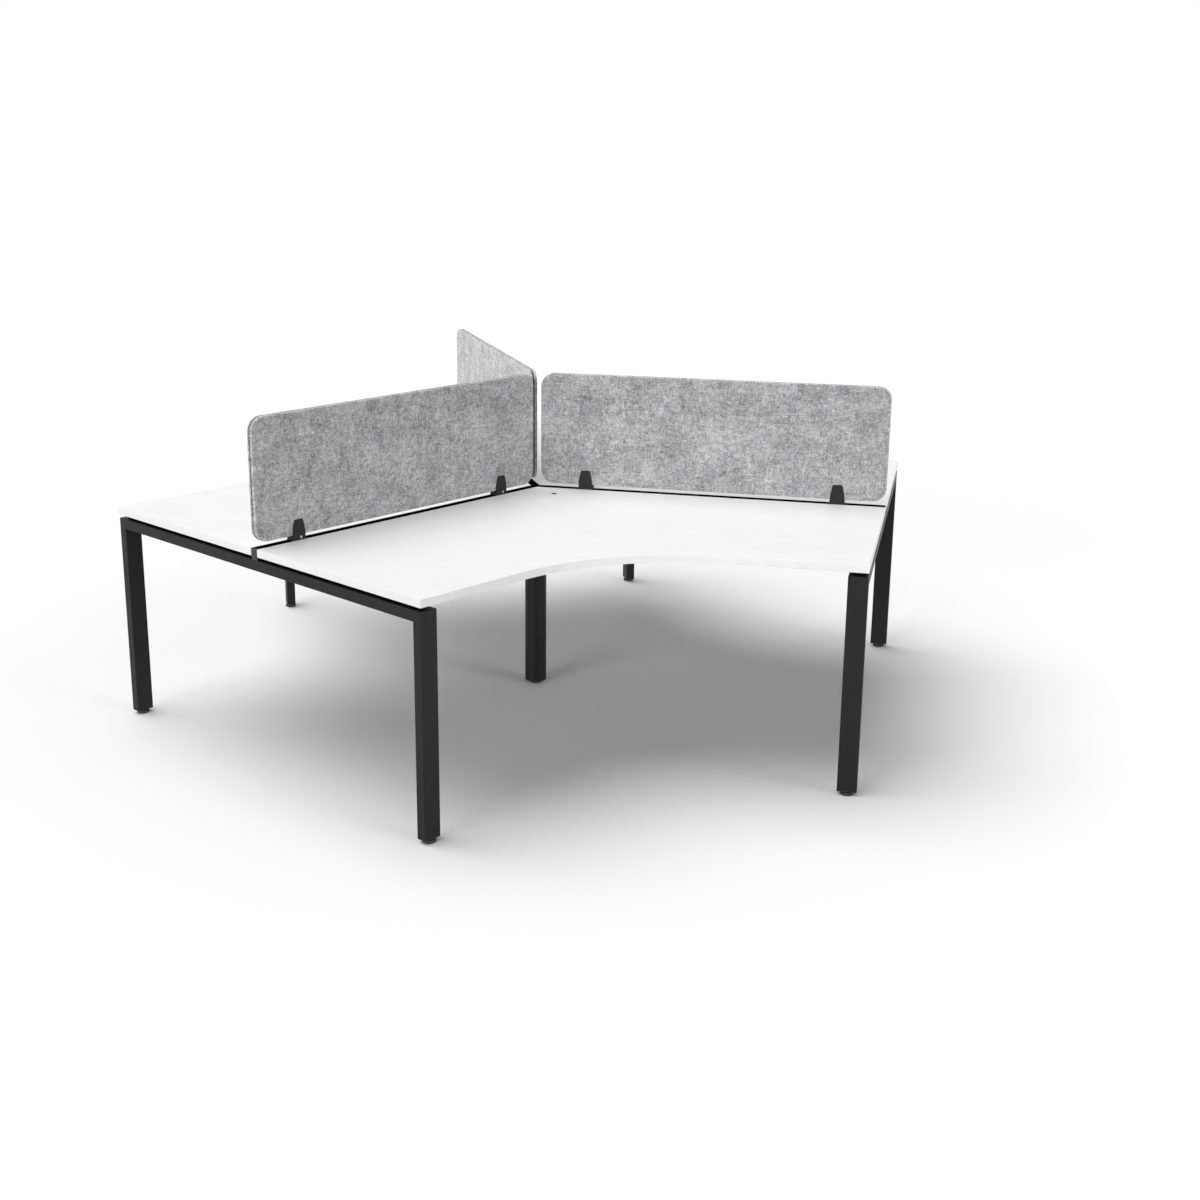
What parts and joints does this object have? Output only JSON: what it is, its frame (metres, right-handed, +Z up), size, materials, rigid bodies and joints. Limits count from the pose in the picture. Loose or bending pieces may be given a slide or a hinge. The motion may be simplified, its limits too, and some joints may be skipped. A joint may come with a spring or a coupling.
{
  "type": "office workstation",
  "caption": "Cluster of corner desks meeting at one post, with white tops curved at the front, felt privacy screens on clamps, and black portal end frames on levelling feet.",
  "frame": {"origin": "on the floor, in the middle of the centre foot's underside", "axes": "+Z up; +X to the right and -Y towards the person at the front desk"},
  "size_m": [2.854, 2.4717, 1.1308],
  "materials": {
    "melamine_white": "white melamine face, fine matt",
    "edge_band_white": "white plastic edge band",
    "powder_black": "black powder coat, fine satin texture",
    "spine_black": "black powder coat on an extrusion",
    "clamp_black": "black powder coat",
    "felt_grey": "mottled grey pressed felt",
    "core_black": "dark board core",
    "plastic_black": "moulded black plastic",
    "foot_black": "moulded black plastic pad on a zinc plated stud",
    "grommet_white": "moulded white plastic",
    "screw_bright": "bright zinc plated steel"
  },
  "bodies": {
    "workstation_frame": {"beam_back": "powder_black", "beam_left": "powder_black", "beam_right": "powder_black", "centre_post": "powder_black", "clamp_blocks": "clamp_black", "clamp_bolts": "screw_bright", "clamp_plates_back": "clamp_black", "clamp_plates_left": "clamp_black", "clamp_plates_right": "clamp_black", "clamp_screws": "screw_bright", "desk_top_front": "melamine_white", "desk_top_left": "melamine_white", "desk_top_right": "melamine_white", "edge_band_front": "edge_band_white", "edge_band_left": "edge_band_white", "edge_band_right": "edge_band_white", "end_plate_bolts": "screw_bright", "end_rail_back": "powder_black", "end_rail_left": "powder_black", "end_rail_right": "powder_black", "felt_back_1": "felt_grey", "felt_back_2": "felt_grey", "felt_left_1": "felt_grey", "felt_left_2": "felt_grey", "felt_right_1": "felt_grey", "felt_right_2": "felt_grey", "frame_screws": "screw_bright", "grommet_liner_front": "grommet_white", "grommet_liner_left": "grommet_white", "grommet_liner_right": "grommet_white", "hub_bolts": "screw_bright", "hub_plate": "powder_black", "leg_back_1": "powder_black", "leg_back_2": "powder_black", "leg_inserts": "plastic_black", "leg_left_1": "powder_black", "leg_left_2": "powder_black", "leg_right_1": "powder_black", "leg_right_2": "powder_black", "post_insert": "plastic_black", "rail_screws": "screw_bright", "screen_core_back": "core_black", "screen_core_left": "core_black", "screen_core_right": "core_black", "spine_end_caps": "plastic_black", "spine_rail_back": "spine_black", "spine_rail_left": "spine_black", "spine_rail_right": "spine_black", "top_screws": "screw_bright", "top_spacers": "plastic_black"},
    "foot_back_1": {"foot_back_1": "foot_black"},
    "foot_back_2": {"foot_back_2": "foot_black"},
    "foot_centre": {"foot_centre": "foot_black"},
    "foot_left_1": {"foot_left_1": "foot_black"},
    "foot_left_2": {"foot_left_2": "foot_black"},
    "foot_right_1": {"foot_right_1": "foot_black"},
    "foot_right_2": {"foot_right_2": "foot_black"},
    "grommet_cap_front": {"grommet_cap_front": "grommet_white"},
    "grommet_cap_left": {"grommet_cap_left": "grommet_white"},
    "grommet_cap_right": {"grommet_cap_right": "grommet_white"}
  },
  "joints": [
    {"name": "foot_back_1_screw_out", "type": "slide", "parent": "workstation_frame", "child": "foot_back_1", "axis": [0, 0, -1], "range_m": [0, 0.015]},
    {"name": "foot_back_2_screw_out", "type": "slide", "parent": "workstation_frame", "child": "foot_back_2", "axis": [0, 0, -1], "range_m": [0, 0.015]},
    {"name": "foot_centre_screw_out", "type": "slide", "parent": "workstation_frame", "child": "foot_centre", "axis": [0, 0, -1], "range_m": [0, 0.015]},
    {"name": "foot_left_1_screw_out", "type": "slide", "parent": "workstation_frame", "child": "foot_left_1", "axis": [0, 0, -1], "range_m": [0, 0.015]},
    {"name": "foot_left_2_screw_out", "type": "slide", "parent": "workstation_frame", "child": "foot_left_2", "axis": [0, 0, -1], "range_m": [0, 0.015]},
    {"name": "foot_right_1_screw_out", "type": "slide", "parent": "workstation_frame", "child": "foot_right_1", "axis": [0, 0, -1], "range_m": [0, 0.015]},
    {"name": "foot_right_2_screw_out", "type": "slide", "parent": "workstation_frame", "child": "foot_right_2", "axis": [0, 0, -1], "range_m": [0, 0.015]},
    {"name": "grommet_cap_front_turn", "type": "hinge", "parent": "workstation_frame", "child": "grommet_cap_front", "pos_m": [0, -0.13, 0.728], "axis": [0, 0, 1], "continuous": true},
    {"name": "grommet_cap_right_turn", "type": "hinge", "parent": "workstation_frame", "child": "grommet_cap_right", "pos_m": [0.11258, 0.065, 0.728], "axis": [0, 0, 1], "continuous": true},
    {"name": "grommet_cap_left_turn", "type": "hinge", "parent": "workstation_frame", "child": "grommet_cap_left", "pos_m": [-0.11258, 0.065, 0.728], "axis": [0, 0, 1], "continuous": true}
  ]
}
